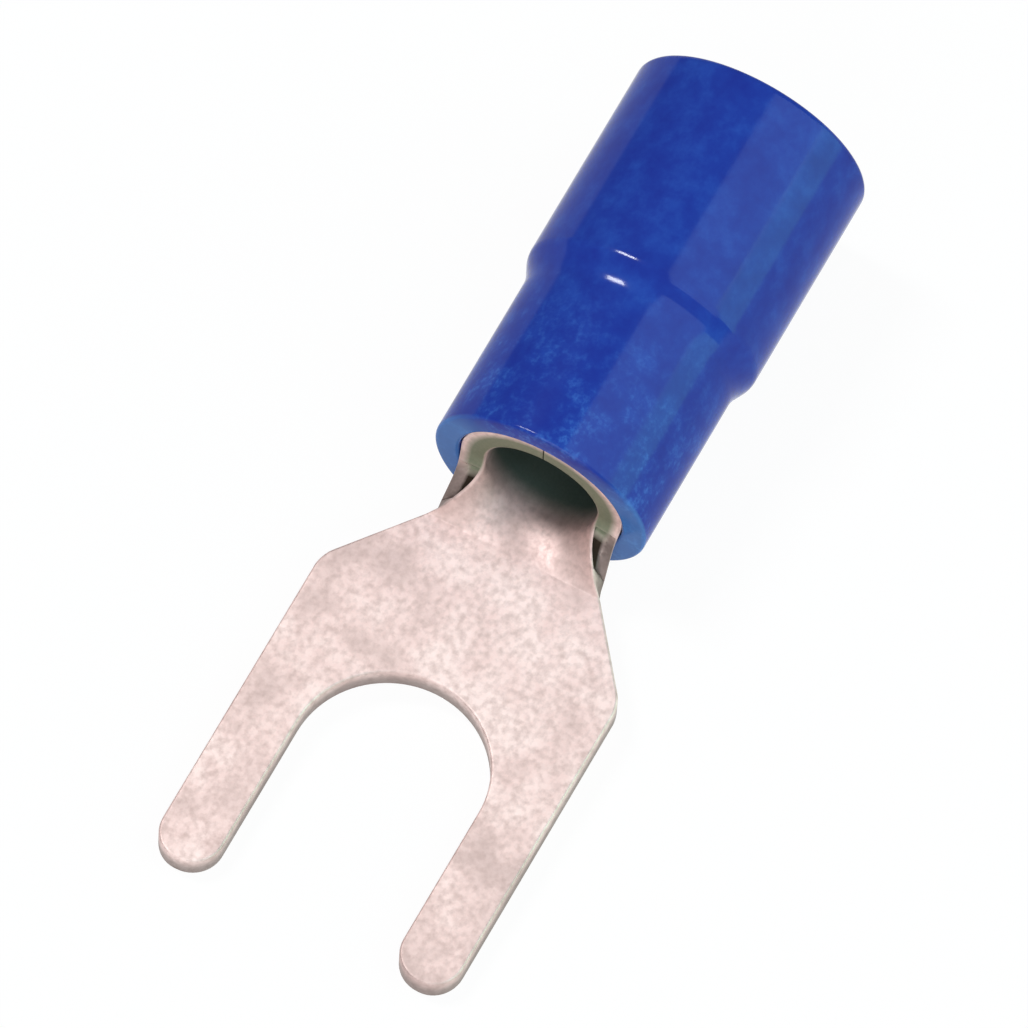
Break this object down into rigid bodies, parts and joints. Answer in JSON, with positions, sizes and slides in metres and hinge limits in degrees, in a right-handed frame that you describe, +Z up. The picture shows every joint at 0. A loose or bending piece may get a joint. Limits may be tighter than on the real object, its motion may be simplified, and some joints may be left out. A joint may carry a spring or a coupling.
{
  "type": "fork terminal",
  "caption": "Insulated crimp fork terminal: a slotted sheet-metal tongue rolled into a wire barrel, with a stepped plastic sleeve over the barrel.",
  "frame": {"origin": "stud centre: the centre of the slot's half-round end, on the underside of the fork", "axes": "+X along the barrel to the wire entry, +Y across the fork, +Z up out of the fork's upper face"},
  "size_m": [0.0201, 0.0072, 0.0055],
  "materials": {
    "tinned_copper": "matte tin plating on stamped copper sheet",
    "blue_plastic": "satin moulded plastic, dyed through"
  },
  "bodies": {
    "root": {"metal_terminal": "tinned_copper", "insulating_sleeve": "blue_plastic"}
  },
  "joints": []
}
